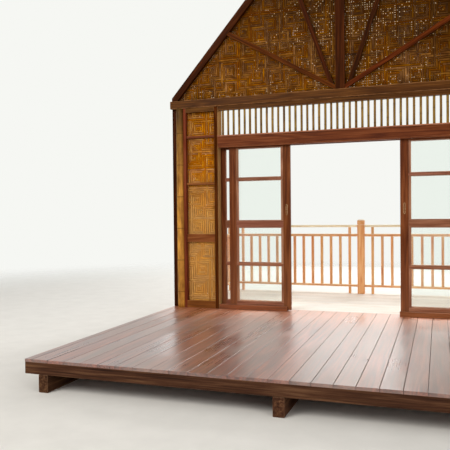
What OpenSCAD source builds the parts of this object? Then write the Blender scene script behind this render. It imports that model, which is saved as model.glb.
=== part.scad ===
// Gable end wall of a timber stilt house, with its sliding doors and its balcony.
// X runs along the wall, Y runs from the room out to the balcony, and Z is up.
// The origin is at the middle of the footprint, level with the underside of the floor beams.
// Heights in the wall are counted from the top of the floor, and depths from the room face.

/* [Wall] */
// Overall width of the wall over its corner posts
wall_w = 4400; // [4200:10:4700]
// Clear width between the door studs
opening_w = 3100; // [3000:10:3200]
// Face width of a door stud
door_stud_w = 48; // [45:1:70]
// Face width of a corner stud
corner_stud_w = 36; // [30:1:60]
// Depth of the studs, rails and truss, from the room face to the matting
frame_d = 60; // [50:1:70]
// Thickness of the heads and frames beyond the door slot
outer_frame_d = 45; // [40:1:60]
// Side of a square corner post
corner_post_w = 110; // [90:1:120]
// Diameter of the bamboo pole in each corner
pole_d = 97; // [80:1:110]
// Distance from the end of the wall to the bamboo pole
pole_edge = 79; // [60:1:90]
// Spacing of the rings on the bamboo poles
pole_ring_pitch = 410; // [300:10:500]

/* [Door head and transom] */
// Height of the doorway
head_z = 2050; // [1950:10:2150]
// Height of the lower lip of the door head
head_lip_h = 15; // [10:1:20]
// Height of the main board of the door head
head_board_h = 123; // [110:1:140]
// Thickness of the ledge under the transom bars
ledge_t = 15; // [12:1:20]
// How far the ledge stands out into the room
ledge_proud = 12; // [5:1:20]
// Open height of the transom
transom_h = 317; // [280:1:360]
// Height of the rail over the transom
transom_head_h = 55; // [45:1:70]
// Diameter of a transom bar
bar_d = 30; // [20:1:34]
// Spacing of the transom bars
bar_pitch = 72.5; // [60:0.5:90]

/* [Side panels] */
// Depth of the rails between the studs
rail_d = 40; // [30:1:50]
// Thickness of the woven matting
mat_t = 5; // [4:1:8]
// Thickness of the battens outside the matting
batten_t = 25; // [20:1:30]
// Height of the plate along the floor
plate_h = 90; // [70:1:110]
// Underside of the lower rail
lower_rail_z = 850; // [800:5:900]
// Height of the lower rail
lower_rail_h = 100; // [80:1:120]
// Underside of the middle rail
middle_rail_z = 1585; // [1500:5:1650]
// Height of the middle rail and of the rail beside the ledge
thin_rail_h = 30; // [24:1:40]

/* [Roof truss] */
// Height of the tie beam
tie_h = 100; // [80:1:120]
// Depth of the tie beam
tie_d = 140; // [130:1:160]
// How far the tie beam stands out into the room
tie_proud = 15; // [5:1:20]
// Slope of the rafters, in degrees
roof_pitch = 48.7; // [42:0.1:54]
// Depth of a rafter, square to its slope
rafter_h = 80; // [70:1:110]
// Distance from the end of the tie beam to the rafter
rafter_setback = 22; // [10:1:40]
// Length of a rafter's foot on the tie beam
rafter_seat = 70; // [50:1:90]
// Width of the king post
king_w = 108; // [90:1:130]
// Width of a strut
strut_w = 50; // [40:1:60]
// How far the struts lie behind the face of the king post
strut_back = 8; // [4:1:12]
// Thickness of a strut
strut_t = 46; // [36:1:46]
// Where a low strut meets the rafter, as a share of the half span
low_strut_share = 0.665; // [0.6:0.005:0.72]
// Height of a low strut's line above the tie beam, at the king post
low_strut_heel = 22; // [10:1:30]
// Where a steep strut meets the rafter, as a share of the half span
steep_strut_share = 0.315; // [0.28:0.005:0.38]
// Height of a steep strut's line over the tie beam at the king post, negative as it stands on the low strut
steep_strut_heel = -79; // [-95:1:-60]
// Where a gable stud stands, as a share of the half span
gable_stud_share = 0.554; // [0.5:0.002:0.6]
// Width of a gable stud
gable_stud_w = 80; // [60:1:90]
// Thickness of a gable stud
gable_stud_t = 45; // [35:1:50]
// How far the gable matting laps behind the rafters
mat_lap = 45; // [30:1:60]

/* [Sliding doors] */
// Width of a sliding leaf
leaf_w = 795; // [740:1:800]
// Thickness of a sliding leaf
leaf_t = 40; // [35:1:45]
// Clearance on each side of a sliding leaf
leaf_gap = 7.5; // [5:0.5:10]
// Gap under a sliding leaf
leaf_lift = 10; // [6:1:15]
// How far a sliding leaf reaches up behind the door head
leaf_hidden = 60; // [50:1:70]
// Width of a leaf's stile
stile_w = 92; // [75:1:95]
// Width of the bead beside a stile
bead_w = 30; // [20:1:35]
// Width of the bead beside a rail
rail_bead_w = 10; // [6:1:12]
// Thickness of the bead
bead_t = 24; // [18:1:28]
// Thickness of the glass
glass_t = 5; // [4:1:6]
// Top of the bottom rail
bottom_rail_top = 108; // [95:1:130]
// Middle of the lower muntin
lower_muntin_z = 571; // [540:1:600]
// Middle of the mid rail
mid_rail_z = 1077; // [1030:1:1110]
// Middle of the upper muntin
upper_muntin_z = 1645; // [1600:1:1680]
// Height of a muntin, beads included
muntin_h = 47; // [36:1:56]
// Height of the mid rail, beads included
mid_rail_h = 100; // [70:1:120]
// How far the top light stays below the door head
top_light_drop = 22; // [15:1:40]
// Gap between the left leaf and its door stud, as the leaf stands open
left_leaf_back = 128; // [10:1:150]
// Gap between the right leaf and its door stud, as the leaf stands open
right_leaf_back = 80; // [10:1:150]
// Width of a fixed side light
fixed_light_w = 870; // [850:1:890]
// Width of a fixed side light's stile
fixed_stile_w = 60; // [50:1:75]
// Length of a guide kerb
kerb_l = 883; // [850:1:910]
// Height of a guide kerb
kerb_h = 58; // [45:1:65]
// Depth of a guide kerb
kerb_d = 50; // [40:1:60]

/* [Door hardware] */
// Height of the hanging track
track_h = 57; // [50:1:60]
// Sheet thickness of the hanging track
track_t = 3; // [2:1:4]
// Width of the slot under the track
track_slot = 20; // [18:1:22]
// Diameter of a hanger wheel
wheel_d = 34; // [28:1:36]
// Width of a hanger wheel
wheel_w = 8; // [6:1:9]
// Running gap under a hanger wheel
wheel_gap = 0.4; // [0.3:0.1:0.5]
// Thickness of a hanger plate
hanger_t = 10; // [8:1:10]
// Length of a hanger along the leaf
hanger_l = 90; // [70:1:110]
// Distance from the end of a leaf to the middle of its hanger
hanger_inset = 120; // [90:1:160]
// Height of the middle of a door pull
pull_z = 1252; // [1200:1:1300]
// Length of a door pull
pull_h = 130; // [110:1:150]
// Width of a door pull
pull_w = 22; // [18:1:28]
// Thickness of a door pull
pull_t = 6; // [5:1:8]
// How far a door pull stands out of the stile
pull_proud = 1.5; // [1:0.5:2]
// Depth of the finger groove in a door pull
pull_groove = 3; // [2:0.5:3.5]
// Width of the rim around the finger groove
pull_rim = 5; // [4:0.5:6]

/* [Floor and balcony] */
// Depth of the room floor, measured from the wall's room face
room_d = 3000; // [1000:10:4500]
// Distance from the wall's room face to the first deck board
deck_start = 178; // [170:1:200]
// Distance from the wall's room face to the line of railing posts
rail_line = 1958; // [1800:1:2100]
// Thickness of the floor boards
board_t = 25; // [20:1:30]
// Width of a room floor board, gap included
room_board_w = 158; // [120:1:180]
// Width of a deck board, gap included
deck_board_w = 140; // [100:1:160]
// Width of the gap between boards
board_gap = 3; // [2:0.5:5]
// Height of a joist
joist_h = 100; // [80:1:120]
// Width of a joist
joist_w = 50; // [40:1:60]
// Largest spacing of the joists
joist_pitch = 400; // [350:10:450]
// Height of a floor beam
beam_h = 150; // [120:1:180]
// Width of a floor beam
beam_w = 90; // [70:1:110]

/* [Railing] */
// Side of a main railing post
post_w = 100; // [80:1:120]
// Height of a main railing post
post_h = 1106; // [1080:1:1200]
// Chamfer round the top of a main railing post
post_chamfer = 14; // [8:1:20]
// Depth of the groove round the head of a main railing post
post_groove = 4; // [2:1:6]
// Distance from the end of the wall to the middle of a corner post of the railing
corner_rail_inset = 184; // [170:1:250]
// Gap from a main post's middle to the slender post beside it
slender_x = 168; // [150:1:190]
// Side of a slender post or a baluster
baluster_w = 37; // [30:1:42]
// Spacing of the balusters
baluster_pitch = 140; // [120:1:160]
// Underside of the top rail
top_rail_z = 993; // [960:1:1010]
// Height of the top rail
top_rail_h = 34; // [28:1:40]
// Depth of the top rail
top_rail_d = 62; // [50:1:80]
// Underside of the second rail
second_rail_z = 854; // [820:1:880]
// Height of the second rail
second_rail_h = 41; // [30:1:48]
// Underside of the bottom rail
bottom_rail_z = 100; // [80:1:130]
// Height of the bottom rail
bottom_rail_h = 36; // [30:1:48]
// Depth of the second and bottom rails
low_rail_d = 46; // [40:1:60]

/* [Hidden] */
$fn = 48;

wood = [0.45, 0.22, 0.13];
dark_wood = [0.30, 0.12, 0.08];
rail_wood = [0.80, 0.49, 0.32];
floor_wood = [0.40, 0.19, 0.13];
deck_wood = [0.85, 0.76, 0.66];
mat_colour = [0.60, 0.40, 0.16];
bamboo = [0.62, 0.45, 0.16];
glass = [0.80, 0.90, 0.86, 0.35];
steel = [0.60, 0.58, 0.55];

// Overlap of a cutting shape past the face that it cuts
cut = 1;

floor_z = beam_h + joist_h + board_t;
balcony_d = rail_line + post_w / 2;
wall_y = (room_d - balcony_d) / 2;

half_w = wall_w / 2;
half_open = opening_w / 2;
stud_x = half_open + door_stud_w;
pole_x = half_w - pole_edge - pole_d / 2;
pole_y = frame_d - pole_d / 2;
corner_stud_x = pole_x - pole_d / 2 - corner_stud_w;
post_x = half_w - corner_post_w;

slot_d = leaf_t + 2 * leaf_gap;
outer_y = frame_d + slot_d;
wall_d = outer_y + outer_frame_d;

head_board_z = head_z + head_lip_h;
ledge_z = head_board_z + head_board_h;
transom_z = ledge_z + ledge_t;
transom_head_z = transom_z + transom_h;
tie_z = transom_head_z + transom_head_h;
tie_top = tie_z + tie_h;

rafter_rise = rafter_h / cos(roof_pitch);
foot_out_x = half_w - rafter_setback;
foot_x = foot_out_x - rafter_seat;
gable_stud_x = gable_stud_share * foot_x;

left_open_x = half_open - left_leaf_back - leaf_w;
right_open_x = half_open - right_leaf_back - leaf_w;
fixed_inner_x = half_open - fixed_light_w;
kerb_inner_x = half_open - kerb_l;
leaf_top = head_z + leaf_hidden;
leaf_y = frame_d + leaf_gap;
leaf_mid_y = leaf_y + leaf_t / 2;
lights = [
    [bottom_rail_top, lower_muntin_z - muntin_h / 2],
    [lower_muntin_z + muntin_h / 2, mid_rail_z - mid_rail_h / 2],
    [mid_rail_z + mid_rail_h / 2, upper_muntin_z - muntin_h / 2],
    [upper_muntin_z + muntin_h / 2, head_z - top_light_drop]
];

track_z = ledge_z - track_h;
axle_z = track_z + track_t + wheel_gap + wheel_d / 2;
wheel_y = track_slot / 2 + (slot_d / 2 - track_t - track_slot / 2) / 2;

corner_rail_x = half_w - corner_rail_inset;
deck_half_w = corner_rail_x + post_w / 2;

// Height of the underside of a rafter above the floor, at a distance from the middle
function under_rafter(x) = tie_top + (foot_x - x) * tan(roof_pitch);

// A box between two corners
module block(low, high) {
    translate(low) cube(high - low);
}

// A flat outline in X and Z, given a thickness from one depth to the next
module upright(y, depth) {
    translate([0, y + depth, 0]) rotate([90, 0, 0]) linear_extrude(depth) children();
}

// Places what is drawn from the floor's top and the wall's room face
module in_wall() {
    translate([0, wall_y, floor_z]) children();
}

// Turns what is drawn on the right side over to the left side
module on_left() {
    mirror([1, 0, 0]) children();
}

// Floor beams run out from the room under the balcony, and carry the joists
module floor_beams() {
    color(dark_wood) {
        for (x = [-1, 0, 1]) {
            block([x * (deck_half_w - beam_w / 2) - beam_w / 2, wall_y - room_d, 0],
                  [x * (deck_half_w - beam_w / 2) + beam_w / 2, wall_y + balcony_d, beam_h]);
        }
    }
}

module floor_joists() {
    run = room_d + balcony_d - joist_w;
    count = ceil(run / joist_pitch);
    color(dark_wood) {
        for (i = [0 : count]) {
            y = -room_d + i * run / count;
            half = y > deck_start ? deck_half_w : half_w;
            translate([-half, wall_y + y, beam_h]) cube([2 * half, joist_w, joist_h]);
        }
    }
}

// The boards are one slab, with a groove for each gap between two boards
module room_floor() {
    color(floor_wood) in_wall() difference() {
        block([-half_w, -room_d, -board_t], [half_w, deck_start, 0]);
        for (x = [room_board_w / 2 : room_board_w : half_w]) {
            for (side = [-1, 1]) {
                translate([side * x - board_gap / 2, -room_d - cut, -board_gap])
                    cube([board_gap, room_d + deck_start + 2 * cut, board_gap + cut]);
            }
        }
    }
}

module balcony_deck() {
    color(deck_wood) in_wall() difference() {
        block([-deck_half_w, deck_start, -board_t], [deck_half_w, balcony_d, 0]);
        for (y = [deck_start + deck_board_w : deck_board_w : balcony_d - deck_board_w / 2]) {
            translate([-deck_half_w - cut, y, -board_gap])
                cube([2 * (deck_half_w + cut), board_gap, board_gap + cut]);
        }
    }
}

module corner_post() {
    block([post_x, frame_d, 0], [half_w, frame_d + corner_post_w, tie_z]);
}

module corner_post_left() { color(dark_wood) in_wall() on_left() corner_post(); }
module corner_post_right() { color(dark_wood) in_wall() corner_post(); }

// A bamboo stem with a raised ring at each joint
module bamboo_stem(diameter, height, ring_h, ring_out, ring_heights) {
    cylinder(d = diameter, h = height);
    for (z = ring_heights) {
        translate([0, 0, z]) cylinder(d = diameter + 2 * ring_out, h = ring_h);
    }
}

// The joints of the pole lie closer together toward its foot
module corner_pole() {
    ring_h = 10;
    ring_out = 3;
    rings = [for (z = [pole_ring_pitch / 2 : pole_ring_pitch : tie_z - 2 * ring_h]) z];
    // The rings are dressed off where the pole meets the post and the stud
    intersection() {
        translate([pole_x, pole_y, 0]) bamboo_stem(pole_d, tie_z, ring_h, ring_out, rings);
        block([pole_x - pole_d / 2, pole_y - pole_d, 0],
              [pole_x + pole_d, frame_d, tie_z]);
    }
}

module corner_pole_left() { color(bamboo) in_wall() on_left() corner_pole(); }
module corner_pole_right() { color(bamboo) in_wall() corner_pole(); }

module wall_studs() {
    block([half_open, 0, 0], [stud_x, wall_d, tie_z]);
    block([corner_stud_x, 0, 0], [corner_stud_x + corner_stud_w, frame_d, tie_z]);
}

module wall_studs_left() { color(dark_wood) in_wall() on_left() wall_studs(); }
module wall_studs_right() { color(dark_wood) in_wall() wall_studs(); }

// Rails between the studs, and battens at the same heights outside the matting
module side_rails() {
    block([stud_x, 0, 0], [corner_stud_x, frame_d, plate_h]);
    block([stud_x, 0, transom_head_z], [corner_stud_x, frame_d, tie_z]);
    for (rail = [[lower_rail_z, lower_rail_h], [middle_rail_z, thin_rail_h], [ledge_z, thin_rail_h]]) {
        block([stud_x, frame_d - rail_d, rail[0]], [corner_stud_x, frame_d, rail[0] + rail[1]]);
    }
    for (rail = [[0, plate_h], [lower_rail_z, lower_rail_h], [middle_rail_z, thin_rail_h],
                 [ledge_z, thin_rail_h], [transom_head_z, transom_head_h]]) {
        block([stud_x, frame_d + mat_t, rail[0]],
              [post_x, frame_d + mat_t + batten_t, rail[0] + rail[1]]);
    }
}

module side_rails_left() { color(wood) in_wall() on_left() side_rails(); }
module side_rails_right() { color(wood) in_wall() side_rails(); }

module side_matting() {
    block([stud_x, frame_d, 0], [post_x, frame_d + mat_t, tie_z]);
}

module side_matting_left() { color(mat_colour) in_wall() on_left() side_matting(); }
module side_matting_right() { color(mat_colour) in_wall() side_matting(); }

// The head board has a narrow lip along its lower edge, set back from its face
module door_head() {
    lip_back = 6;
    color(wood) in_wall() {
        block([-half_open, 0, head_board_z], [half_open, frame_d, ledge_z]);
        block([-half_open, lip_back, head_z], [half_open, frame_d, head_board_z]);
    }
}

module outer_head() {
    color(wood) in_wall() block([-half_open, outer_y, head_z], [half_open, wall_d, ledge_z]);
}

module transom_ledge() {
    color(wood) in_wall() block([-half_open, -ledge_proud, ledge_z], [half_open, wall_d, transom_z]);
}

// A row of bamboo bars, each with one joint at its own height
module transom_bars() {
    ring_h = 5;
    ring_out = 1.5;
    count = floor(opening_w / bar_pitch);
    first = -(count - 1) * bar_pitch / 2;
    golden = 0.618;
    color(bamboo) in_wall() {
        for (i = [0 : count - 1]) {
            share = i * golden - floor(i * golden);
            translate([first + i * bar_pitch, frame_d / 2, transom_z])
                bamboo_stem(bar_d, transom_h, ring_h, ring_out, [(0.1 + 0.75 * share) * transom_h]);
        }
    }
}

module transom_head() {
    color(wood) in_wall() block([-half_open, 0, transom_head_z], [half_open, frame_d, tie_z]);
}

module tie_beam() {
    color(wood) in_wall() block([-half_w, -tie_proud, tie_z], [half_w, tie_d - tie_proud, tie_top]);
}

// The king post rises between the rafters, and its top is cut to the two slopes
module king_post() {
    side_top = under_rafter(king_w / 2) + rafter_rise;
    color(dark_wood) in_wall() upright(0, frame_d) polygon([
        [-king_w / 2, tie_top], [king_w / 2, tie_top], [king_w / 2, side_top],
        [0, under_rafter(0) + rafter_rise], [-king_w / 2, side_top]
    ]);
}

// The foot of a rafter stands on the tie beam, with a plumb cut at its end
module rafter() {
    top = under_rafter(king_w / 2);
    end_top = under_rafter(foot_out_x) + rafter_rise;
    upright(0, frame_d) polygon([
        [foot_x, tie_top], [foot_out_x, tie_top], [foot_out_x, end_top],
        [king_w / 2, top + rafter_rise], [king_w / 2, top]
    ]);
}

module rafter_left() { color(dark_wood) in_wall() on_left() rafter(); }
module rafter_right() { color(dark_wood) in_wall() rafter(); }

// The triangle between the tie beam, the king post and a rafter
module truss_bay() {
    polygon([[king_w / 2, tie_top], [foot_x, tie_top], [king_w / 2, under_rafter(king_w / 2)]]);
}

// A straight strip from the king post to the rafter, long enough to be trimmed at both ends
module strut_strip(heel, share, deeper = 0) {
    start = [king_w / 2, tie_top + heel];
    end = [share * foot_x, under_rafter(share * foot_x)];
    spare = 4 * strut_w;
    angle = atan2(end[1] - start[1], end[0] - start[0]);
    translate(start) rotate(angle) translate([-spare, -strut_w / 2 - deeper])
        square([norm(end - start) + 2 * spare, strut_w + deeper]);
}

// The steep strut stands on the low one at its foot and is let into it there
module struts() {
    upright(strut_back, strut_t) union() {
        intersection() {
            truss_bay();
            strut_strip(low_strut_heel, low_strut_share);
        }
        difference() {
            intersection() {
                truss_bay();
                strut_strip(steep_strut_heel, steep_strut_share);
            }
            strut_strip(low_strut_heel - strut_w / 2, low_strut_share, foot_x);
        }
    }
}

module struts_left() { color(wood) in_wall() on_left() struts(); }
module struts_right() { color(wood) in_wall() struts(); }

module gable_matting() {
    lap_x = foot_x + mat_lap / sin(roof_pitch);
    lap_top = tie_top + lap_x * tan(roof_pitch);
    color(mat_colour) in_wall() upright(frame_d, mat_t)
        polygon([[-lap_x, tie_top], [lap_x, tie_top], [0, lap_top]]);
}

// Studs behind the gable matting, cut to the slope of the rafters
module gable_studs() {
    lap = mat_lap / cos(roof_pitch);
    inner = gable_stud_x - gable_stud_w / 2;
    outer = gable_stud_x + gable_stud_w / 2;
    color(dark_wood) in_wall() {
        for (side = [0, 1]) {
            mirror([side, 0, 0]) upright(frame_d + mat_t, gable_stud_t) polygon([
                [inner, tie_top], [outer, tie_top],
                [outer, under_rafter(outer) + lap], [inner, under_rafter(inner) + lap]
            ]);
        }
        upright(frame_d + mat_t, gable_stud_t) polygon([
            [-gable_stud_w / 2, tie_top], [gable_stud_w / 2, tie_top],
            [gable_stud_w / 2, under_rafter(gable_stud_w / 2) + lap],
            [0, under_rafter(0) + lap],
            [-gable_stud_w / 2, under_rafter(gable_stud_w / 2) + lap]
        ]);
    }
}

// A folded channel that fills the slot over the leaves, open along its underside
module door_track() {
    color(steel) in_wall() difference() {
        block([-half_open, frame_d, track_z], [half_open, outer_y, ledge_z]);
        block([-half_open - cut, frame_d + track_t, track_z + track_t],
              [half_open + cut, outer_y - track_t, ledge_z - track_t]);
        block([-half_open - cut, leaf_mid_y - track_slot / 2, track_z - cut],
              [half_open + cut, leaf_mid_y + track_slot / 2, track_z + track_t + cut]);
    }
}

module door_kerbs() {
    color(dark_wood) in_wall() {
        for (side = [0, 1]) {
            mirror([side, 0, 0])
                block([kerb_inner_x, frame_d - kerb_d, 0], [half_open, frame_d, kerb_h]);
        }
    }
}

// A glazed frame from an inner to an outer edge, with four lights and a bead round each
module glazed_frame(inner, outer, y, low, high, thickness, stile, bead) {
    mid = y + thickness / 2;
    difference() {
        union() {
            difference() {
                block([inner, y, low], [outer, y + thickness, high]);
                for (light = lights) {
                    block([inner + stile, y - cut, light[0] - rail_bead_w],
                          [outer - stile, y + thickness + cut, light[1] + rail_bead_w]);
                }
            }
            block([inner + stile / 2, mid - bead_t / 2, low + rail_bead_w],
                  [outer - stile / 2, mid + bead_t / 2, high - rail_bead_w]);
        }
        for (light = lights) {
            block([inner + stile + bead, y - cut, light[0]],
                  [outer - stile - bead, y + thickness + cut, light[1]]);
        }
    }
}

// The four panes of such a frame, edge to edge with its beads
module panes(inner, outer, y, thickness, stile, bead) {
    mid = y + thickness / 2;
    for (light = lights) {
        block([inner + stile + bead, mid - glass_t / 2, light[0]],
              [outer - stile - bead, mid + glass_t / 2, light[1]]);
    }
}

module fixed_light() {
    glazed_frame(fixed_inner_x, half_open, outer_y, 0, head_z, leaf_t, fixed_stile_w, rail_bead_w);
}

module fixed_glass() {
    panes(fixed_inner_x, half_open, outer_y, leaf_t, fixed_stile_w, rail_bead_w);
}

module fixed_light_left() { color(wood) in_wall() on_left() fixed_light(); }
module fixed_light_right() { color(wood) in_wall() fixed_light(); }
module fixed_glass_left() { color(glass) in_wall() on_left() fixed_glass(); }
module fixed_glass_right() { color(glass) in_wall() fixed_glass(); }

// The outline of a door pull or of its groove, a slot with round ends
module pull_outline(inner, margin) {
    radius = pull_w / 2 - margin;
    reach = pull_h / 2 - pull_w / 2;
    translate([inner + stile_w / 2, pull_z]) {
        square([2 * radius, 2 * reach], center = true);
        translate([0, reach]) circle(radius);
        translate([0, -reach]) circle(radius);
    }
}

// A sliding leaf, let in on both faces for its pulls
module leaf(inner) {
    let_in = pull_t - pull_proud;
    difference() {
        glazed_frame(inner, inner + leaf_w, leaf_y, leaf_lift, leaf_top, leaf_t, stile_w, bead_w);
        upright(leaf_y - cut, let_in + cut) pull_outline(inner, 0);
        upright(leaf_y + leaf_t - let_in, let_in + cut) pull_outline(inner, 0);
    }
}

module leaf_glass(inner) {
    panes(inner, inner + leaf_w, leaf_y, leaf_t, stile_w, bead_w);
}

// One pull on each face, each with a shallow finger groove
module leaf_pulls(inner) {
    near = leaf_y - pull_proud;
    far = leaf_y + leaf_t + pull_proud;
    difference() {
        upright(near, pull_t) pull_outline(inner, 0);
        upright(near - cut, pull_groove + cut) pull_outline(inner, pull_rim);
    }
    difference() {
        upright(far - pull_t, pull_t) pull_outline(inner, 0);
        upright(far - pull_groove, pull_groove + cut) pull_outline(inner, pull_rim);
    }
}

// A hanger is a foot on the leaf, a plate up through the slot, and four wheels on its axles
module hanger(x) {
    foot_t = 4;
    foot_w = 30;
    axle_d = 8;
    axle_x = hanger_l / 2 - wheel_d / 2;
    translate([x, leaf_mid_y, 0]) {
        block([-hanger_l / 2, -foot_w / 2, leaf_top], [hanger_l / 2, foot_w / 2, leaf_top + foot_t]);
        block([-hanger_l / 2, -hanger_t / 2, leaf_top], [hanger_l / 2, hanger_t / 2, axle_z + axle_d]);
        for (side = [-1, 1]) {
            translate([side * axle_x, 0, axle_z]) rotate([90, 0, 0]) {
                cylinder(d = axle_d, h = 2 * wheel_y + wheel_w, center = true);
                for (row = [-1, 1]) {
                    translate([0, 0, row * wheel_y]) cylinder(d = wheel_d, h = wheel_w, center = true);
                }
            }
        }
    }
}

module leaf_hangers(inner) {
    hanger(inner + hanger_inset);
    hanger(inner + leaf_w - hanger_inset);
}

module leaf_left() { color(wood) in_wall() on_left() leaf(left_open_x); }
module leaf_right() { color(wood) in_wall() leaf(right_open_x); }
module leaf_glass_left() { color(glass) in_wall() on_left() leaf_glass(left_open_x); }
module leaf_glass_right() { color(glass) in_wall() leaf_glass(right_open_x); }
module leaf_hangers_left() { color(steel) in_wall() on_left() leaf_hangers(left_open_x); }
module leaf_hangers_right() { color(steel) in_wall() leaf_hangers(right_open_x); }
module leaf_pulls_left() { color(steel) in_wall() on_left() leaf_pulls(left_open_x); }
module leaf_pulls_right() { color(steel) in_wall() leaf_pulls(right_open_x); }

// The side view of a main post, with its chamfered top and the groove round its head
module post_profile() {
    groove_z = top_rail_z + top_rail_h;
    groove_h = 8;
    half = post_w / 2;
    polygon([
        [-half, 0], [half, 0],
        [half, groove_z], [half - post_groove, groove_z],
        [half - post_groove, groove_z + groove_h], [half, groove_z + groove_h],
        [half, post_h - post_chamfer], [half - post_chamfer, post_h],
        [-half + post_chamfer, post_h], [-half, post_h - post_chamfer],
        [-half, groove_z + groove_h], [-half + post_groove, groove_z + groove_h],
        [-half + post_groove, groove_z], [-half, groove_z]
    ]);
}

module railing_post(x, y) {
    translate([x, y, 0]) intersection() {
        upright(-post_w / 2, post_w) post_profile();
        rotate([0, 0, 90]) upright(-post_w / 2, post_w) post_profile();
    }
}

// Three posts along the front, and one against the wall at each side
module railing_posts() {
    color(rail_wood) in_wall() {
        for (x = [-corner_rail_x, 0, corner_rail_x]) {
            railing_post(x, rail_line);
        }
        for (x = [-corner_rail_x, corner_rail_x]) {
            railing_post(x, deck_start + post_w / 2);
        }
    }
}

// A bay of railing along X between the middles of two main posts, a given distance apart
module railing_bay(length) {
    start = post_w / 2;
    end = length - post_w / 2;
    count = round((length - 2 * slender_x) / baluster_pitch);
    step = (length - 2 * slender_x) / count;
    block([start, -top_rail_d / 2, top_rail_z], [end, top_rail_d / 2, top_rail_z + top_rail_h]);
    for (rail = [[second_rail_z, second_rail_h], [bottom_rail_z, bottom_rail_h]]) {
        block([start, -low_rail_d / 2, rail[0]], [end, low_rail_d / 2, rail[0] + rail[1]]);
    }
    for (x = [slender_x, length - slender_x]) {
        block([x - baluster_w / 2, -baluster_w / 2, 0], [x + baluster_w / 2, baluster_w / 2, top_rail_z]);
    }
    for (i = [1 : count - 1]) {
        x = slender_x + i * step;
        block([x - baluster_w / 2, -baluster_w / 2, bottom_rail_z],
              [x + baluster_w / 2, baluster_w / 2, second_rail_z]);
    }
}

module railing_front() {
    color(rail_wood) in_wall() {
        translate([-corner_rail_x, rail_line, 0]) railing_bay(corner_rail_x);
        translate([0, rail_line, 0]) railing_bay(corner_rail_x);
    }
}

// The side bay runs from the post against the wall to the corner post
module railing_side() {
    translate([corner_rail_x, deck_start + post_w / 2, 0]) rotate([0, 0, 90])
        railing_bay(rail_line - deck_start - post_w / 2);
}

module railing_left() { color(rail_wood) in_wall() on_left() railing_side(); }
module railing_right() { color(rail_wood) in_wall() railing_side(); }

floor_beams();
floor_joists();
room_floor();
balcony_deck();
corner_post_left();
corner_post_right();
corner_pole_left();
corner_pole_right();
wall_studs_left();
wall_studs_right();
side_rails_left();
side_rails_right();
side_matting_left();
side_matting_right();
door_head();
outer_head();
transom_ledge();
transom_bars();
transom_head();
tie_beam();
king_post();
rafter_left();
rafter_right();
struts_left();
struts_right();
gable_matting();
gable_studs();
door_track();
door_kerbs();
fixed_light_left();
fixed_light_right();
fixed_glass_left();
fixed_glass_right();
leaf_left();
leaf_right();
leaf_glass_left();
leaf_glass_right();
leaf_hangers_left();
leaf_hangers_right();
leaf_pulls_left();
leaf_pulls_right();
railing_posts();
railing_front();
railing_left();
railing_right();
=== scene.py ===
"""Looks of a timber gable end wall: sliding doors, woven matting, truss, floors and railed balcony."""

import math
import random

import bmesh
import bpy
from mathutils import Matrix, Vector, noise


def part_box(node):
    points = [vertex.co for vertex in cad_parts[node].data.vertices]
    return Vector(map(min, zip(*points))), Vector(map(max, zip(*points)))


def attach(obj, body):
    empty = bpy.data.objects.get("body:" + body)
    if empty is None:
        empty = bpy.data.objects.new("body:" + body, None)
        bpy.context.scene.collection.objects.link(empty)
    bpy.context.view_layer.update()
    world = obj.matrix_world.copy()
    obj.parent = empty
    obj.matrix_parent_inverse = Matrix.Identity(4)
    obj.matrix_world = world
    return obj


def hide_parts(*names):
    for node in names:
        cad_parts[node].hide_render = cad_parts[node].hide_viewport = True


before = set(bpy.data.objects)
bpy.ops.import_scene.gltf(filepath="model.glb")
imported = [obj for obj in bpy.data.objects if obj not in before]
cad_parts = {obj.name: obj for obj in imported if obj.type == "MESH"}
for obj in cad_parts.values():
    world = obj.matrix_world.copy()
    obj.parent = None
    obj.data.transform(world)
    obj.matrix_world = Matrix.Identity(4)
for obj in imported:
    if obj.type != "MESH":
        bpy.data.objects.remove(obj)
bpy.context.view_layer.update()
scene = bpy.context.scene
rng = random.Random(11)

MM = 0.001
SIDES = {"left": -1, "right": 1}

# Places that the pieces share, read from the frame
FLOOR_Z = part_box("room_floor")[1].z
WALL_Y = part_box("door_head")[0].y
TIE_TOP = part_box("tie_beam")[1].z

# The camera, fitted to the photograph
CAMERA_AT = (1.101, -6.727, 1.473)
CAMERA_RIGHT = (0.94254, 0.33396, -0.00966)
CAMERA_UP = (0.00339, 0.01934, 0.99981)
CAMERA_LENS = 48.36

WORLD_LIGHT = 0.42


def rgb(red, green, blue):
    """A colour as it looks on a screen, 0 to 255, as linear light with alpha."""
    values = [c / 255 for c in (red, green, blue)]
    return (*[c / 12.92 if c <= 0.04045 else ((c + 0.055) / 1.055) ** 2.4 for c in values], 1)


# Meshes


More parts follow.
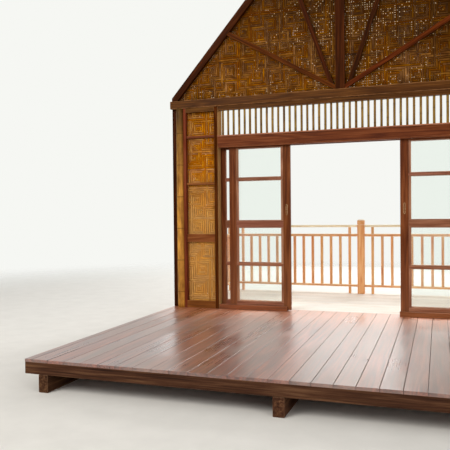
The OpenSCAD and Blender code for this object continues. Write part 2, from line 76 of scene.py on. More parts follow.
class Store:
    """The points and faces of one piece, with what its material reads at each point.

    grain is the place along and across the grain, in metres from a start of the board's own. tone is the
    board's own lightness, 0 to 1. edge is 1 on a rounded edge, on the rings of a stem and on the sides of
    a strip, or -1 on the sides at a pinhole.
    """

    def __init__(self):
        self.points, self.faces, self.smooth, self.slots = [], [], [], []
        self.grain, self.tone, self.edge = [], [], []

    def add(self, points, faces, grain, edge, tone=None, smooth=False, slot=0):
        """Adds a board, strip or stem. Without a tone it gets a random one."""
        base = len(self.points)
        self.points += [tuple(p) for p in points]
        self.faces += [[base + i for i in face] for face in faces]
        self.smooth += [smooth] * len(faces)
        self.slots += [slot] * len(faces)
        self.grain += [tuple(g) for g in grain]
        self.tone += [rng.random() if tone is None else tone] * len(points)
        self.edge += list(edge)

    def build(self, name, slot, materials, *nodes, body="frame"):
        """Makes the piece. It rides on a body, takes the materials given, and stands for CAD nodes. The
        slot is not used.
        """
        mesh = bpy.data.meshes.new(name)
        mesh.from_pydata(self.points, [], self.faces)
        mesh.polygons.foreach_set("use_smooth", self.smooth)
        mesh.polygons.foreach_set("material_index", self.slots)
        grain = mesh.attributes.new("grain", "FLOAT_VECTOR", "POINT")
        grain.data.foreach_set("vector", [c for g in self.grain for c in g])
        for key, values in (("tone", self.tone), ("edge", self.edge)):
            mesh.attributes.new(key, "FLOAT", "POINT").data.foreach_set("value", values)
        for material in materials if isinstance(materials, list) else [materials]:
            mesh.materials.append(material)
        mesh.validate()
        obj = bpy.data.objects.new(name, mesh)
        scene.collection.objects.link(obj)
        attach(obj, body)
        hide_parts(*nodes)
        return obj


def grain_start():
    """A random place in the grain. Across it stays small, as the fine noises lose precision far out."""
    return Vector((rng.uniform(0, 40), rng.uniform(0, 3), rng.uniform(0, 3)))


def grain_of(points, start, along):
    """Each point's place along and across the grain, from a random start of the board's own."""
    along = Vector(along).normalized()
    across = along.cross(Vector((0, 1, 0)) if abs(along.y) < 0.9 else Vector((1, 0, 0))).normalized()
    third = along.cross(across)
    shift = grain_start()
    return [Vector(((p - start).dot(along), (p - start).dot(across), (p - start).dot(third))) + shift
            for p in points]


def low_corner(points):
    return Vector([min(p[k] for p in points) for k in range(3)])


def add_solid(store, bm, width, along=None, tone=None, slot=0):
    """Adds a solid with its edges rounded. Its grain runs along its longest side, or as told."""
    bmesh.ops.recalc_face_normals(bm, faces=bm.faces[:])
    sharp = [e for e in bm.edges if len(e.link_faces) == 2 and e.calc_face_angle() > 0.3]
    made = bmesh.ops.bevel(bm, geom=sharp, offset=width, segments=2, profile=0.5, affect="EDGES",
                           clamp_overlap=True)
    rounded = set(made["faces"])
    bm.verts.index_update()
    points = [v.co.copy() for v in bm.verts]
    low = low_corner(points)
    if along is None:
        size = [max(p[k] for p in points) - low[k] for k in range(3)]
        along = Matrix.Identity(3)[size.index(max(size))]
    edge = [float(all(f in rounded for f in v.link_faces)) for v in bm.verts]
    faces = [[v.index for v in f.verts] for f in bm.faces]
    store.add(points, faces, grain_of(points, low, along), edge, tone, slot=slot)
    bm.free()


def add_board(store, low, high, width, along=None, tone=None, slot=0):
    """Adds a board between two corners."""
    bm = bmesh.new()
    bmesh.ops.create_cube(bm, size=1)
    low, high = Vector(low), Vector(high)
    for v in bm.verts:
        v.co = Vector([low[k] if v.co[k] < 0 else high[k] for k in range(3)])
    add_solid(store, bm, width, along, tone, slot)


def add_upright(store, outline, near, far, width, along, slot):
    """Adds an outline in X and Z, drawn out along Y."""
    bm = bmesh.new()
    front = [bm.verts.new((x, near, z)) for x, z in outline]
    back = [bm.verts.new((x, far, z)) for x, z in outline]
    bm.faces.new(front)
    bm.faces.new(back[::-1])
    count = len(outline)
    for i in range(count):
        bm.faces.new((front[i], back[i], back[(i + 1) % count], front[(i + 1) % count]))
    add_solid(store, bm, width, along, slot=slot)


def islands(node):
    """The separate solids of a CAD node, each as its own bmesh with its flat faces joined."""
    bm = bmesh.new()
    bm.from_mesh(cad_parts[node].data)
    bmesh.ops.remove_doubles(bm, verts=bm.verts[:], dist=0.01 * MM)
    bmesh.ops.dissolve_limit(bm, angle_limit=math.radians(1), verts=bm.verts[:], edges=bm.edges[:])
    left = set(bm.verts)
    found = []
    while left:
        todo = [left.pop()]
        group = set(todo)
        while todo:
            for e in todo.pop().link_edges:
                for v in e.verts:
                    if v not in group:
                        group.add(v)
                        todo.append(v)
        left -= group
        part = bmesh.new()
        in_order = sorted(group, key=lambda v: tuple(round(c, 5) for c in v.co))
        copies = {v: part.verts.new(v.co) for v in in_order}
        for f in bm.faces:
            if f.verts[0] in group:
                part.faces.new([copies[v] for v in f.verts])
        found.append(part)
    bm.free()
    return sorted(found, key=lambda p: tuple(round(c, 4) for c in low_corner([v.co for v in p.verts])))


def from_node(name, node, slot, material, width, along=None, pick=None, body="frame"):
    """Makes a piece from the solids of a CAD node, with rounded edges and each with its own grain.

    pick gives a solid's place in the list of materials, from its low corner.
    """
    store = Store()
    for part in islands(node):
        low = low_corner([v.co for v in part.verts])
        add_solid(store, part, width, along, slot=pick(low) if pick else 0)
    return store.build(name, slot, material, node, body=body)


def clip(outline, x, z, away_x, away_z):
    """The part of an outline behind a line through the point x, z, which looks toward away_x, away_z."""
    def depth(p):
        return (p[0] - x) * away_x + (p[1] - z) * away_z

    kept = []
    for i, a in enumerate(outline):
        b = outline[(i + 1) % len(outline)]
        if depth(a) <= 0:
            kept.append(a)
        if (depth(a) < 0) != (depth(b) < 0) and depth(a) != depth(b):
            share = depth(a) / (depth(a) - depth(b))
            kept.append((a[0] + share * (b[0] - a[0]), a[1] + share * (b[1] - a[1])))
    return kept


def tube_faces(rows, around):
    """The faces of a tube and its two ends, made of rows of points."""
    faces = []
    for row in range(rows - 1):
        for k in range(around):
            a, b = row * around + k, row * around + (k + 1) % around
            faces.append((a, b, b + around, a + around))
    faces.append(tuple(range(around))[::-1])
    faces.append(tuple((rows - 1) * around + k for k in range(around)))
    return faces


def add_stem(store, foot, height, radius, joints, around, bend, ring, tone=None, step=0.06):
    """Adds a bamboo stem that stands on a point, with a ring and a groove at each joint."""
    heights = {0.0, height}
    level = step
    while level < height - 0.3 * step:
        heights.add(level)
        level += step
    for joint in joints:
        heights = {h for h in heights if abs(h - joint) > 16 * MM or h in (0.0, height)}
        heights |= {joint + d * MM for d in (-14, -5, -1, 1.5, 4, 14) if 0 < joint + d * MM < height}
    heights = sorted(heights)
    turn = rng.uniform(0, 2 * math.pi)
    shift = grain_start()
    points, grain, edge = [], [], []
    for h in heights:
        nearest = min((abs(h - j) for j in joints), default=1.0)
        swell = 1 + 0.035 * ring * math.exp(-((nearest / (6 * MM)) ** 2))
        if any(1 * MM < h - j < 3 * MM for j in joints):
            swell -= 0.05 * ring
        sway = bend * math.sin(math.pi * h / height)
        for k in range(around):
            angle = 2 * math.pi * k / around
            uneven = 1 + 0.012 * math.sin(2 * angle + turn)
            r = radius * swell * uneven
            points.append(Vector(foot) + Vector((r * math.cos(angle) + sway * math.cos(turn),
                                                 r * math.sin(angle) + sway * math.sin(turn), h)))
            grain.append(Vector((h, radius * math.cos(angle), radius * math.sin(angle))) + shift)
            edge.append(math.exp(-((nearest / (5 * MM)) ** 2)))
    faces = tube_faces(len(heights), around)
    store.add(points, faces, grain, edge, tone, smooth=True)


# Materials


class Nodes:
    """A node tree, and short calls that add nodes to it and join them."""

    def __init__(self, tree):
        self.tree = tree
        tree.nodes.clear()

    def put(self, socket, value):
        """Sets an input, or joins it to another node's output."""
        if isinstance(value, bpy.types.NodeSocket):
            self.tree.links.new(value, socket)
        else:
            socket.default_value = value

    def add(self, kind, values=None, **settings):
        """Adds a node. The values go to its inputs, by name or number."""
        node = self.tree.nodes.new(kind)
        for key, value in settings.items():
            setattr(node, key, value)
        for key, value in (values or {}).items():
            self.put(node.inputs[key], value)
        return node

    def split(self, vector):
        """The X, Y and Z of a vector."""
        return self.add("ShaderNodeSeparateXYZ", {0: vector}).outputs

    def scaled(self, vector, along, across, third=None):
        values = {"Vector": vector, "Scale": (along, across, across if third is None else third)}
        return self.add("ShaderNodeMapping", values).outputs[0]

    def noise(self, vector, *scales, detail, rough=0.55, twist=0.0, scale=1.0):
        """A noise of one scale, or of separate scales along and across the grain."""
        if scales:
            vector = self.scaled(vector, *scales)
        values = {"Vector": vector, "Scale": scale, "Detail": detail, "Roughness": rough,
                  "Distortion": twist}
        return self.add("ShaderNodeTexNoise", values).outputs["Fac"]

    def sums(self, operation, a, b=0.0, c=0.0):
        return self.add("ShaderNodeMath", {0: a, 1: b, 2: c}, operation=operation).outputs[0]

    def times(self, a, b):
        return self.sums("MULTIPLY", a, b)

    def spread(self, value, low, high, to_low=0.0, to_high=1.0, smooth=False):
        """Brings a value from one range to another, and keeps it there."""
        values = {"Value": value, "From Min": low, "From Max": high, "To Min": to_low, "To Max": to_high}
        kind = "SMOOTHSTEP" if smooth else "LINEAR"
        return self.add("ShaderNodeMapRange", values, interpolation_type=kind).outputs[0]

    def ramp(self, value, *stops):
        """Colours by a value: each stop is a place and a colour."""
        node = self.add("ShaderNodeValToRGB", {0: value})
        ramp = node.color_ramp
        while len(ramp.elements) < len(stops):
            ramp.elements.new(0.5)
        for element, (place, colour) in zip(ramp.elements, stops):
            element.position = place
            element.color = colour
        return node.outputs[0]

    def blend(self, share, a, b):
        return self.add("ShaderNodeMix", {0: share, 6: a, 7: b}, data_type="RGBA").outputs[2]

    def tint(self, colour, hue=0.5, saturation=1.0, value=1.0):
        values = {"Hue": hue, "Saturation": saturation, "Value": value, "Color": colour}
        return self.add("ShaderNodeHueSaturation", values).outputs[0]


class Paint(Nodes):
    """A node material with one Principled shader."""

    def __init__(self, name):
        self.material = bpy.data.materials.new(name)
        self.material.use_nodes = True
        super().__init__(self.material.node_tree)
        self.out = self.add("ShaderNodeOutputMaterial")
        self.shader = self.add("ShaderNodeBsdfPrincipled")
        self.tree.links.new(self.shader.outputs[0], self.out.inputs[0])

    def set(self, **values):
        """Sets or joins the shader's own inputs, named with _ for a space."""
        for key, value in values.items():
            self.put(self.shader.inputs[key.replace("_", " ")], value)

    def read(self, name):
        """What a piece stores at its points: grain as a vector, tone or edge as a number."""
        node = self.add("ShaderNodeAttribute", attribute_name=name)
        return node.outputs["Vector" if name == "grain" else "Fac"]

    def place(self):
        """The place in the frame, in metres."""
        return self.add("ShaderNodeTexCoord").outputs["Object"]

    def facing(self):
        """The X, Y and Z of the way that the surface faces."""
        return self.split(self.add("ShaderNodeNewGeometry").outputs["Normal"])

    def varied(self, tone, spread):
        """The lightness that a board's tone gives it, a share above or below 1."""
        return self.spread(tone, 0, 1, 1 - spread, 1 + spread)

    def bump(self, height, distance, strength):
        values = {"Height": height, "Distance": distance, "Strength": strength}
        self.set(Normal=self.add("ShaderNodeBump", values).outputs[0])


def timber(name, dark, mid, light, worn_and_lit, rough=(0.42, 0.62), spread=0.12, wear_and_edge_light=0.6, knots=0.0, gloss=0.07,
           sunlit_tops=0.0, lit_sides=0.0, dust_and_floor_light=0.0):
    """Sawn and planed timber: fibres, year rings, pores and edges in a paler colour, partly from wear and
    partly a painted highlight along the arrises.

    The same paler colour also lies on tops as painted sunlight, on faces that look along the wall as
    painted light from outside, and near the floor as painted light from below, each by the share given.
    """
    paint = Paint(name)
    grain = paint.read("grain")
    tone = paint.read("tone")
    fibres = paint.noise(grain, 2.4, 85, detail=6, rough=0.62, twist=0.3)
    drift = paint.noise(grain, 0.45, 5.5, detail=2)
    rings = paint.sums("PINGPONG", paint.times(drift, 17.0), 1.0)
    pores = paint.noise(grain, 45, 800, detail=2)
    cloud = paint.noise(grain, 1.3, 3.5, detail=3)
    mixed = paint.sums("MULTIPLY_ADD", rings, 0.16, paint.times(fibres, 0.74))
    mixed = paint.sums("MULTIPLY_ADD", cloud, 0.22, mixed)
    colour = paint.ramp(mixed, (0.36, dark), (0.56, mid), (0.74, light))
    pore = paint.spread(pores, 0.60, 0.72)
    colour = paint.blend(paint.times(pore, 0.45), colour, dark)
    if knots:
        cells = {"Vector": paint.scaled(grain, 1.6, 7.0), "Scale": 1.0, "Randomness": 1.0}
        distance = paint.add("ShaderNodeTexVoronoi", cells).outputs["Distance"]
        knot = paint.spread(distance, 0.16, 0.05, smooth=True)
        colour = paint.blend(paint.times(knot, knots), colour, dark)
    turn = paint.sums("FRACT", paint.times(tone, 7.31))
    colour = paint.tint(colour, value=paint.varied(tone, spread),
                        hue=paint.spread(turn, 0, 1, 0.495, 0.506))
    # Edges take the paler colour: partly wear, partly a painted highlight along the arrises.
    scuffs = paint.noise(grain, 14, 30, detail=4)
    rubbed_and_lit_edges = paint.times(paint.read("edge"), paint.spread(scuffs, 0.35, 0.6, 0.25, 1.0))
    colour = paint.blend(paint.times(rubbed_and_lit_edges, wear_and_edge_light), colour, worn_and_lit)
    # Painted sunlight: tops turn paler, the more they face up.
    if sunlit_tops:
        colour = paint.blend(paint.spread(paint.facing()[2], 0.2, 0.7, 0.0, sunlit_tops), colour, worn_and_lit)
    # Painted light: faces that look along the wall turn paler, as lit from outside.
    if lit_sides:
        sideways = paint.sums("ABSOLUTE", paint.facing()[0])
        colour = paint.blend(paint.spread(sideways, 0.6, 0.9, 0.0, lit_sides), colour, worn_and_lit)
    # Painted light from below: the wood turns paler toward the floor.
    if dust_and_floor_light:
        height = paint.split(paint.place())[2]
        colour = paint.blend(paint.spread(height, FLOOR_Z + 0.9, FLOOR_Z, 0.0, dust_and_floor_light), colour, worn_and_lit)
    paint.set(Base_Color=colour, Specular_IOR_Level=gloss,
              Roughness=paint.spread(paint.sums("ADD", fibres, cloud), 0.7, 1.3, *rough))
    paint.bump(paint.sums("SUBTRACT", fibres, paint.times(pore, 0.5)), 0.5 * MM, 0.6)
    return paint.material


def varnished_floor(name):
    """Dark red boards under an old glossy varnish, scuffed in patches, and paler and warm orange near the
    doors with painted sunlight.
    """
    paint = Paint(name)
    grain = paint.read("grain")
    tone = paint.read("tone")
    place = paint.place()
    fibres = paint.noise(grain, 2.0, 75, detail=6, rough=0.62, twist=0.3)
    drift = paint.noise(grain, 0.4, 5.0, detail=2)
    rings = paint.sums("PINGPONG", paint.times(drift, 15.0), 1.0)
    mixed = paint.sums("MULTIPLY_ADD", rings, 0.16, paint.times(fibres, 0.84))
    colour = paint.ramp(mixed, (0.34, rgb(66, 26, 16)), (0.50, rgb(112, 54, 36)), (0.70, rgb(152, 86, 62)))
    colour = paint.tint(colour, value=paint.spread(tone, 0, 1, 0.84, 1.18))
    # Worn patches of varnish: paler, duller and specked.
    patches = paint.noise(place, 2.4, 1.1, detail=2)
    worn_and_lit = paint.spread(patches, 0.40, 0.66, smooth=True)
    scratches = paint.noise(place, 160, 9, detail=3, twist=1.2)
    scratch = paint.spread(scratches, 0.64, 0.70)
    colour = paint.blend(paint.times(worn_and_lit, 0.4), colour, rgb(156, 134, 122))
    colour = paint.blend(paint.times(scratch, 0.22), colour, rgb(190, 170, 156))
    specks = paint.noise(place, 70, 32, detail=5, rough=0.75)
    speck = paint.times(paint.spread(specks, 0.64, 0.70), worn_and_lit)
    colour = paint.blend(paint.times(speck, 0.3), colour, rgb(214, 206, 200))
    # Painted sunlight: near the doors the boards turn a warm orange.
    near_doors = paint.spread(paint.split(place)[1], WALL_Y - 1.1, WALL_Y, smooth=True)
    painted_sunlight = paint.times(near_doors, paint.spread(fibres, 0.35, 0.6, 0.4, 0.75))
    colour = paint.blend(painted_sunlight, colour, rgb(206, 128, 84))
    colour = paint.blend(paint.times(paint.read("edge"), 0.55), colour, rgb(38, 16, 10))
    dull = paint.times(paint.spread(fibres, 0.4, 0.7), 0.06)
    dull = paint.sums("ADD", paint.spread(worn_and_lit, 0, 1, 0.27, 0.40), dull)
    paint.set(Base_Color=colour, Roughness=0.6, Specular_IOR_Level=0.3, Coat_Weight=1.0, Coat_IOR=2.1,
              Coat_Roughness=paint.sums("ADD", dull, paint.spread(tone, 0, 1, -0.03, 0.06)))
    waves = paint.noise(grain, 5, 22, detail=2)
    paint.bump(paint.sums("MULTIPLY_ADD", fibres, 0.22, waves), 0.4 * MM, 0.4)
    return paint.material


def weathered_deck(name):
    """Bleached deck boards, nearly white where they dried, greyer in the grain."""
    paint = Paint(name)
    grain = paint.read("grain")
    fibres = paint.noise(grain, 3.0, 95, detail=6, rough=0.65, twist=0.2)
    cloud = paint.noise(grain, 2.2, 5, detail=4)
    mixed = paint.sums("MULTIPLY_ADD", cloud, 0.35, paint.times(fibres, 0.65))
    dark, mid, light = rgb(228, 214, 198), rgb(244, 238, 228), rgb(250, 248, 243)
    colour = paint.ramp(mixed, (0.34, dark), (0.50, mid), (0.68, light))
    colour = paint.tint(colour, value=paint.spread(paint.read("tone"), 0, 1, 0.90, 1.0))
    colour = paint.blend(paint.times(paint.read("edge"), 0.5), colour, rgb(190, 160, 130))
    paint.set(Base_Color=colour, Roughness=paint.spread(fibres, 0.3, 0.7, 0.6, 0.85))
    paint.bump(fibres, 0.8 * MM, 0.7)
    return paint.material


def cane(name, dark, mid, light, ring_colour, spread=0.2, painted_shade=0.0):
    """The smooth skin of a bamboo stem: fine lengthwise streaks, blotches and dark joints.

    The last argument is painted shade: how much darker the stem gets up to the tie beam.
    """
    paint = Paint(name)
    grain = paint.read("grain")
    tone = paint.read("tone")
    streaks = paint.noise(grain, 1.6, 190, detail=5, rough=0.6)
    blotch = paint.noise(grain, 5.5, 16, detail=4, rough=0.6)
    mixed = paint.sums("MULTIPLY_ADD", blotch, 0.5, paint.times(streaks, 0.5))
    colour = paint.ramp(mixed, (0.36, dark), (0.50, mid), (0.66, light))
    colour = paint.tint(colour, value=paint.varied(tone, spread),
                        hue=paint.spread(tone, 0, 1, 0.49, 0.506))
    specks = paint.noise(grain, 60, 160, detail=2)
    colour = paint.blend(paint.times(paint.spread(specks, 0.66, 0.74), 0.5), colour, dark)
    colour = paint.blend(paint.spread(paint.read("edge"), 0.25, 0.95, 0.0, 0.85), colour, ring_colour)
    # Painted shade: the stem darkens toward the tie beam.
    if painted_shade:
        height = paint.split(paint.place())[2]
        height_shade = paint.spread(height, TIE_TOP - 1.3, TIE_TOP, 1.0, 1 - painted_shade, smooth=True)
        colour = paint.tint(colour, value=height_shade)
    paint.set(Base_Color=colour, Specular_IOR_Level=0.12,
              Roughness=paint.spread(blotch, 0.3, 0.7, 0.35, 0.55))
    paint.bump(paint.sums("MULTIPLY_ADD", streaks, 0.4, paint.times(blotch, 0.4)), 0.5 * MM, 0.6)
    return paint.material


def split_cane(name, dark, mid, light, warm, lit, painted_shade, fade_and_glow=None, spread=0.12, slant=0.0):
    """The flat strips of a woven mat. Each strip has its own tone, with fibres, joints, and darker sides,
    partly soil and partly painted shade where the strips meet.

    The painted shade is two heights and the lightness at each: the mat is painted darker upward, and slant
    is how much lower the shade reaches per metre to the right. The glow is two heights: painted light
    makes the mat paler and more golden toward the second. lit is the colour painted on the sides at a
    pinhole, indoors, as light comes through.
    """
    paint = Paint(name)
    grain = paint.read("grain")
    tone = paint.read("tone")
    fibres = paint.noise(grain, 3.5, 150, detail=6, rough=0.65)
    blotch = paint.noise(grain, 9.0, 14, detail=3, rough=0.6)
    mixed = paint.sums("MULTIPLY_ADD", blotch, 0.55, paint.times(fibres, 0.45))
    colour = paint.ramp(mixed, (0.34, dark), (0.50, mid), (0.66, light))
    turn = paint.sums("FRACT", paint.times(tone, 5.77))
    colour = paint.blend(paint.spread(turn, 0.55, 0.95, 0.0, 0.4), colour, warm)
    place = paint.place()
    stains = paint.spread(paint.noise(place, detail=4, rough=0.6, scale=3.2), 0.30, 0.70, 0.76, 1.20)
    value = paint.times(paint.varied(tone, spread), stains)
    colour = paint.tint(colour, value=value, saturation=paint.spread(turn, 0, 1, 0.9, 1.1))
    joint = paint.spread(paint.sums("PINGPONG", paint.split(grain)[0], 0.19), 0.0, 0.005, 1.0, 0.0)
    colour = paint.blend(paint.times(joint, 0.7), colour, dark)
    # Darker sides: partly soil, partly painted shade where the strips meet.
    edge = paint.read("edge")
    colour = paint.blend(paint.spread(edge, 0.0, 1.0, 0.0, 0.4), colour, dark)
    # Painted shade: darker upward, and lower down to the right.
    across, _, height = paint.split(place)
    hung = paint.sums("MULTIPLY_ADD", across, slant, height)
    colour = paint.tint(colour, value=paint.spread(hung, *painted_shade))
    # Painted light: paler and more golden toward the lower height.
    if fade_and_glow:
        colour = paint.blend(paint.spread(height, *fade_and_glow, 0.0, 0.40), colour, rgb(214, 172, 104))
    # Painted light: on the indoor face, the sides at a pinhole take the lit colour.
    indoors = paint.spread(paint.facing()[1], 0.1, -0.1)
    colour = paint.blend(paint.times(indoors, paint.spread(edge, 0.0, -1.0)), colour, lit)
    paint.set(Base_Color=colour, Specular_IOR_Level=0.03,
              Roughness=paint.spread(fibres, 0.3, 0.7, 0.5, 0.7))
    paint.bump(fibres, 0.3 * MM, 0.7)
    return paint.material


def pane_glass(name):
    """Clear window glass, with faint waves and a little dust."""
    paint = Paint(name)
    place = paint.place()
    waves = paint.noise(place, detail=1, scale=5.0)
    # Dust on the glass, in patches, makes it rougher.
    dust_and_floor_light = paint.noise(place, detail=5, rough=0.7, scale=9.0)
    paint.set(Base_Color=rgb(250, 253, 251), Roughness=paint.spread(dust_and_floor_light, 0.45, 0.75, 0.0, 0.05), IOR=1.45,
              Transmission_Weight=1.0)
    paint.bump(waves, 0.4 * MM, 0.3)
    return paint.material


def metal(name, bright, tarnished, rough, scale):
    """Metal with tarnish in patches and fine scratches."""
    paint = Paint(name)
    place = paint.place()
    patches = paint.noise(place, detail=6, rough=0.65, scale=scale)
    fine = paint.noise(place, 60, 60, 900, detail=3)
    polish = paint.sums("ADD", patches, paint.times(fine, 0.4))
    paint.set(Base_Color=paint.ramp(patches, (0.38, tarnished), (0.60, bright)), Metallic=0.9,
              Roughness=paint.spread(polish, 0.4, 0.9, *rough))
    paint.bump(paint.sums("MULTIPLY_ADD", fine, 0.5, patches), 0.1 * MM, 0.5)
    return paint.material


# Each timber has a dark, a middle, a light and a paler colour, the last for worn edges and for painted
# light
# The red timber has painted light from below, near the floor.
RED = timber("red_timber", rgb(72, 30, 14), rgb(107, 53, 25), rgb(136, 77, 44), rgb(182, 126, 92),
             spread=0.10, dust_and_floor_light=0.18)
# The beam's edges are painted paler: a highlight along its arrises, beside some wear.
BEAM = timber("beam_timber", rgb(52, 27, 4), rgb(82, 48, 13), rgb(110, 70, 28), rgb(186, 134, 88),
              spread=0.08, wear_and_edge_light=0.95)
DARK = timber("dark_timber", rgb(33, 11, 0), rgb(57, 23, 3), rgb(81, 39, 11), rgb(114, 68, 36), gloss=0.03)
LOW_STRUT = timber("strut_timber", rgb(44, 17, 1), rgb(80, 34, 5), rgb(110, 56, 18), rgb(150, 86, 44),
                   gloss=0.03)
BEARER = timber("bearer_timber", rgb(40, 22, 14), rgb(74, 46, 30), rgb(110, 78, 54), rgb(128, 98, 74),
                rough=(0.55, 0.8), spread=0.15)
# The railing's tops have painted sunlight.
RAILING = timber("railing_timber", rgb(204, 126, 76), rgb(230, 166, 112), rgb(240, 198, 152),
                 rgb(252, 236, 208), rough=(0.45, 0.7), spread=0.09, wear_and_edge_light=0.7, knots=0.7, sunlit_tops=0.9)
# The transom ledge is a paler copy of the rail timber: painted light, where outside light falls on its
# top.
LIT_LEDGE = timber("lit_ledge_timber", rgb(104, 58, 36), rgb(150, 94, 62), rgb(180, 126, 92),
               rgb(214, 168, 134))
CORNER_STUD = timber("corner_stud_timber", rgb(70, 28, 12), rgb(108, 50, 26), rgb(134, 74, 46),
                     rgb(160, 100, 70), gloss=0.03)
# The door studs have painted light on the faces that look along the wall.
DOOR_STUD = timber("door_stud_timber", rgb(46, 19, 4), rgb(74, 33, 9), rgb(100, 52, 22), rgb(176, 134, 84),
                   wear_and_edge_light=0.4, gloss=0.0, lit_sides=0.9)
DOOR_RAIL = timber("door_rail_timber", rgb(98, 54, 38), rgb(138, 86, 64), rgb(166, 114, 90),
                   rgb(196, 146, 120), spread=0.10)
# The beads are a paler copy of the frame timber: painted light from outside.
LIT_BEAD = timber("lit_bead_timber", rgb(104, 62, 42), rgb(146, 98, 74), rgb(178, 132, 104), rgb(206, 166, 136),
              spread=0.10)
# The top rail is a near-white copy of the railing timber: painted sunlight.
SUNLIT_TOP_RAIL = timber("sunlit_top_rail_timber", rgb(236, 208, 166), rgb(250, 236, 204), rgb(253, 244, 222),
                  rgb(254, 246, 228), spread=0.05)
SIDE_RAIL = timber("side_rail_timber", rgb(84, 42, 14), rgb(122, 68, 28), rgb(152, 98, 52),
                   rgb(176, 120, 74))
FLOOR = varnished_floor("floor_boards")
DECK = weathered_deck("deck_boards")

# Each cane has a dark, a middle and a light colour, and one more for its rings or its warmer strips
# The corner poles have painted shade toward the tie beam.
POLE = cane("corner_pole_cane", rgb(116, 72, 22), rgb(172, 120, 48), rgb(230, 168, 72), rgb(96, 58, 16),
            painted_shade=0.82)
BARS = cane("transom_cane", rgb(84, 58, 18), rgb(126, 94, 36), rgb(168, 134, 66), rgb(86, 62, 28),
            spread=0.14)
# The gable mat has painted shade, darker upward and to the right.
GABLE_MAT = split_cane("gable_matting", rgb(66, 35, 5), rgb(116, 69, 14), rgb(160, 108, 34),
                       rgb(128, 60, 7), lit=rgb(252, 204, 120),
                       painted_shade=(TIE_TOP, TIE_TOP + 1.2, 1.06, 0.34), spread=0.24, slant=0.24)
# The side mats have painted shade toward the top and painted light, paler and more golden, lower down.
SIDE_MAT = split_cane("side_matting", rgb(124, 66, 10), rgb(176, 110, 28), rgb(214, 156, 64),
                      rgb(184, 94, 12), lit=rgb(248, 190, 98),
                      painted_shade=(TIE_TOP - 1.5, TIE_TOP - 0.2, 1.14, 0.82),
                      fade_and_glow=(TIE_TOP - 0.9, TIE_TOP - 1.5))
GLASS = pane_glass("pane_glass")

# Each metal has a bright and a tarnished colour, and its roughness where tarnished and where bright
STEEL = metal("track_steel", rgb(196, 196, 192), rgb(140, 138, 132), (0.55, 0.35), 18.0)
BRASS = metal("pull_metal", rgb(206, 176, 132), rgb(122, 92, 60), (0.5, 0.30), 60.0)


# Floor and deck

FLOOR_BOARD = 0.158
DECK_BOARD = 0.140
BOARD_GAP = 3 * MM
PLANK_STEP = 0.12


def add_plank(store, low, high, along_y, crown, width=2 * MM):
    """Adds a floor board whose top is slightly crowned and uneven, as used boards are."""
    low, high = Vector(low), Vector(high)
    length, breadth = (high.y - low.y, high.x - low.x) if along_y else (high.x - low.x, high.y - low.y)
    rows = max(2, round(length / PLANK_STEP))
    shares = [0, width / breadth, 0.25, 0.5, 0.75, 1 - width / breadth, 1]
    seed = rng.uniform(0, 100)
    tilt = rng.uniform(-1, 1) * 0.5 * MM
    points, edge = [], []

    def add_point(at, share, z, rounded):
        x, y = (share * breadth, at) if along_y else (at, share * breadth)
        points.append(Vector((low.x + x, low.y + y, z)))
        edge.append(float(rounded))

    for row in range(rows + 1):
        at = length * row / rows
        for share in shares:
            rounded = share in (0, 1)
            drop = 0.7 * width if rounded else 0
            lift = crown * (1 - (2 * share - 1) ** 2) + tilt * (share - 0.5)
            lift += 0.35 * MM * noise.noise(Vector((at * 2.2, share * 1.5, seed)))
            add_point(at, share, high.z - drop - 0.6 * MM + lift, rounded)
        add_point(at, 1, low.z, False)
        add_point(at, 0, low.z, False)
    faces = tube_faces(rows + 1, len(shares) + 2)
    if not along_y:
        faces = [f[::-1] for f in faces]
    along = (0, 1, 0) if along_y else (1, 0, 0)
    store.add(points, faces, grain_of(points, low, along), edge)


def floors():
    low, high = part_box("room_floor")
    store = Store()
    seams = [low.x] + [(k + 0.5) * FLOOR_BOARD for k in range(-14, 14)] + [high.x]
    for left, right in zip(seams, seams[1:]):
        near = left + (BOARD_GAP / 2 if left > low.x else 0)
        far = right - (BOARD_GAP / 2 if right < high.x else 0)
        add_plank(store, (near, low.y, low.z), (far, high.y, high.z), True, 0.5 * MM)
    store.build("room_floor_boards", "floor_boards", FLOOR, "room_floor")

    low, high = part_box("balcony_deck")
    store = Store()
    count = round((high.y - low.y) / DECK_BOARD)
    for k in range(count):
        near = low.y + k * DECK_BOARD + (BOARD_GAP if k else 0)
        far = high.y if k == count - 1 else low.y + (k + 1) * DECK_BOARD
        add_plank(store, (low.x, near, low.z), (high.x, far, high.z), False, 0.4 * MM, 2.5 * MM)
    store.build("balcony_deck_boards", "deck_boards", DECK, "balcony_deck")
    from_node("floor_beam_timbers", "floor_beams", "dark_timber", BEARER, 5 * MM)
    from_node("floor_joist_timbers", "floor_joists", "dark_timber", BEARER, 3 * MM)


# Wall

CORNER_FROM = 1.9

# A corner pole stands this far across and out from the wall
POLE_X = 2.0725
POLE_OUT = 11.5 * MM
POLE_RADIUS = 48.5 * MM
POLE_JOINTS = 0.41

BAR_PITCH = 0.0725
BAR_RADIUS = 15 * MM
BAR_COUNT = 42


